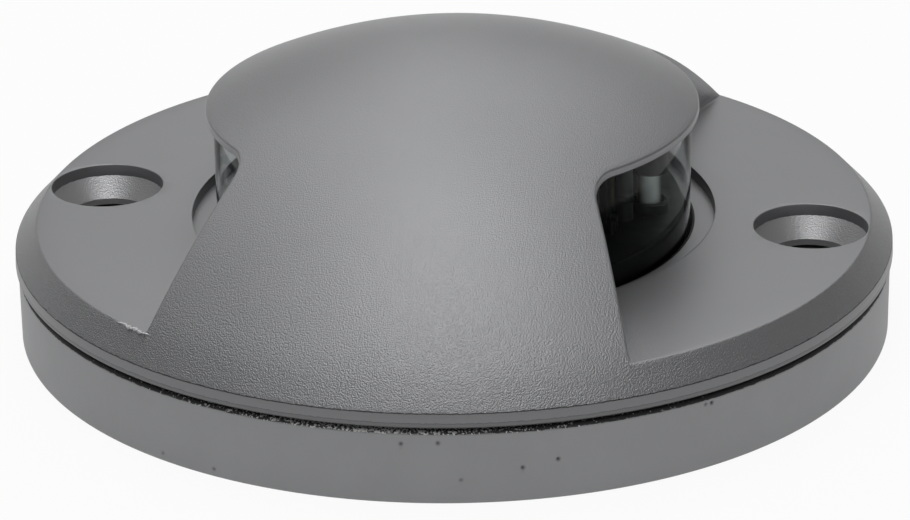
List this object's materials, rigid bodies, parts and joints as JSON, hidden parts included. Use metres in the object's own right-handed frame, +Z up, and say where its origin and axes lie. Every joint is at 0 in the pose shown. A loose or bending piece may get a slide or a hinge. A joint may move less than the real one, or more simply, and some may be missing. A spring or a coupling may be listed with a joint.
{
  "type": "walkover ground light",
  "caption": "Low round surface-mounted walkover light: a cast hood with a crowned ramp and two side windows over a glass cylinder, on a base ring with countersunk fixing holes.",
  "frame": {"origin": "middle of the base ring's underside, where the light stands on the ground", "axes": "+X through the two fixing holes and the light windows, -Y is the front of the ramp, +Z up"},
  "size_m": [0.14, 0.14, 0.0456],
  "materials": {
    "sand_coat": "sand-textured grey powder coat on cast aluminium",
    "ring_paint": "smooth satin grey coat on cast aluminium, with fine casting pits",
    "clear_glass": "clear glass",
    "black_rubber": "matt black rubber",
    "black_anodised": "satin black anodised aluminium",
    "screw_steel": "stainless steel",
    "pad_grey": "grey thermal pad",
    "board_black": "black lacquered circuit board",
    "lamp_resin": "yellow lamp resin under a clear dome",
    "lens_acrylic": "polished smoked acrylic",
    "gloss_black": "glossy black moulding",
    "lead_black": "black wire insulation",
    "lead_brown": "brown wire insulation",
    "lead_green": "green wire insulation",
    "cup_metal": "grey coated aluminium",
    "case_black": "matt black moulding",
    "board_green": "green circuit board",
    "terminal_white": "off-white moulding",
    "screw_brass": "plain brass",
    "gland_black": "black nylon"
  },
  "bodies": {
    "base": {"base_ring": "ring_paint", "seam_gasket": "black_rubber"},
    "head": {"hood": "sand_coat", "glass_cylinder": "clear_glass", "glass_gasket": "black_rubber", "top_seal": "black_rubber", "lamp_carrier": "black_anodised", "heat_sink": "black_anodised", "heat_sink_screws": "screw_steel", "thermal_pads": "pad_grey", "lamp_board_right": "board_black", "lamp_board_left": "board_black", "lamps": "lamp_resin", "rod_lenses": "lens_acrylic", "lens_posts": "gloss_black", "lens_bracket_right": "gloss_black", "lens_bracket_left": "gloss_black", "bracket_screws": "screw_steel", "lamp_leads": "lead_black", "rear_cup": "cup_metal", "cup_gasket": "black_rubber", "cup_screws": "screw_steel", "driver_case": "case_black", "driver_board": "board_green", "driver_lid": "case_black", "terminal_block": "terminal_white", "terminal_screws": "screw_brass", "supply_leads": "lead_brown", "earth_lead": "lead_green", "earth_screw": "screw_brass", "cable_gland": "gland_black", "gland_nut": "gland_black", "gland_seal": "black_rubber", "gland_lock_nut": "gland_black", "pressure_vent": "gland_black"}
  },
  "joints": [
    {"name": "head_lift", "type": "slide", "parent": "base", "child": "head", "axis": [0, 0, 1], "range_m": [0, 0.06]}
  ]
}
